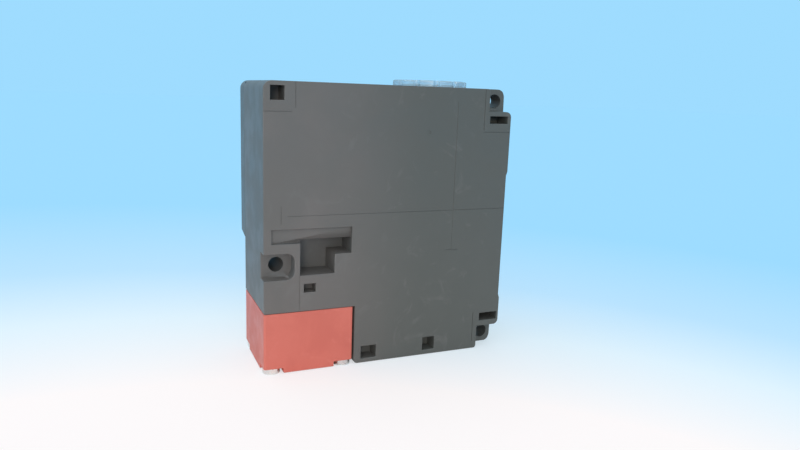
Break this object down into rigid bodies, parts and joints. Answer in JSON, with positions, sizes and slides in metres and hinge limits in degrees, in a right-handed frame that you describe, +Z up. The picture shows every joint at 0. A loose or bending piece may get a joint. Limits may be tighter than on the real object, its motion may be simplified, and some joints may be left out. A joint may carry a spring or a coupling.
{
  "type": "tongue interlock switch",
  "caption": "Flat guard lock door switch: grey box housing with red key head, notched corners with screw holes, wiring cover, conduit plug, and a solenoid-locked cam and plunger inside.",
  "frame": {"origin": "middle of the base of the overall box; the part stands on its head's screws and end face", "axes": "+Z up the housing from the key head to the conduit entry, -Y out of the mounting face, +X from the mounting hole side to the two lugs"},
  "size_m": [0.0944, 0.0404, 0.104],
  "materials": {
    "casing": "fine moulded, matte, mottled",
    "casing_lid": "fine moulded, matte",
    "red_head": "moulded, satin",
    "zinc_screw": "bright zinc plated",
    "black_rubber": "moulded",
    "steel": "turned",
    "spring_steel": "drawn wire",
    "plated_frame": "zinc plated",
    "cam_plastic": "moulded, filled",
    "white_plastic": "moulded",
    "coil_tape": "polyester tape",
    "black_plastic": "moulded",
    "switch_plastic": "moulded",
    "brass": "plated",
    "board_green": "solder mask",
    "led_clear": "clear",
    "lens_clear": "clear",
    "plug_clear": "translucent, unpigmented"
  },
  "bodies": {
    "case": {"housing": "casing", "mechanism_cover": "casing_lid", "wiring_cover": "casing_lid", "mechanism_cover_screws": "zinc_screw", "wiring_cover_screws": "zinc_screw", "wiring_cover_gasket": "black_rubber", "head_block": "red_head", "head_screws": "zinc_screw", "head_seal": "black_rubber", "cam_shaft": "steel", "plunger_bush": "white_plastic", "plunger_seal": "black_rubber", "plunger_spring": "spring_steel", "lock_spring": "spring_steel", "solenoid_frame": "plated_frame", "solenoid_core": "steel", "coil_bobbin": "white_plastic", "coil_winding": "coil_tape", "solenoid_screws": "zinc_screw", "release_seal": "black_rubber", "switch_case": "switch_plastic", "switch_lid": "switch_plastic", "switch_screws": "zinc_screw", "fixed_contacts": "brass", "monitor_case": "switch_plastic", "monitor_lid": "switch_plastic", "monitor_contacts": "brass", "terminal_block": "switch_plastic", "terminal_clamps": "brass", "terminal_screws": "zinc_screw", "indicator_board": "board_green", "indicator_leds": "led_clear", "indicator_lenses": "lens_clear", "conduit_plug": "plug_clear", "conduit_seal": "black_rubber"},
    "cam": {"rotary_cam": "cam_plastic"},
    "plunger": {"plunger_rod": "steel", "contact_carrier": "white_plastic", "contact_bridges": "brass", "contact_springs": "spring_steel"},
    "lock": {"lock_fork": "steel", "push_pin": "steel", "armature": "steel", "armature_clip": "spring_steel", "monitor_slider": "steel", "monitor_bridge": "brass"},
    "release": {"release_knob": "black_plastic", "release_clip": "spring_steel"}
  },
  "joints": [
    {"name": "cam_turn", "type": "hinge", "parent": "case", "child": "cam", "pos_m": [-0.03095, -0.00165, 0.0128], "axis": [-1, 0, 0], "range_deg": [0, 60]},
    {"name": "plunger_slide", "type": "slide", "parent": "case", "child": "plunger", "axis": [0, 0, -1], "range_m": [0, 0.004], "deforming": ["plunger_spring"]},
    {"name": "lock_slide", "type": "slide", "parent": "case", "child": "lock", "axis": [-1, 0, 0], "range_m": [0, 0.005], "stiffness_N_per_m": 300, "springref_m": -0.004, "deforming": ["lock_spring"]},
    {"name": "release_turn", "type": "hinge", "parent": "case", "child": "release", "pos_m": [-0.01725, 0.01285, 0.0364], "axis": [0, -1, 0], "range_deg": [0, 90]}
  ],
  "couplings": [
    {"joint": "cam_turn", "follows": "plunger_slide", "rad_per_m": 261.8}
  ]
}
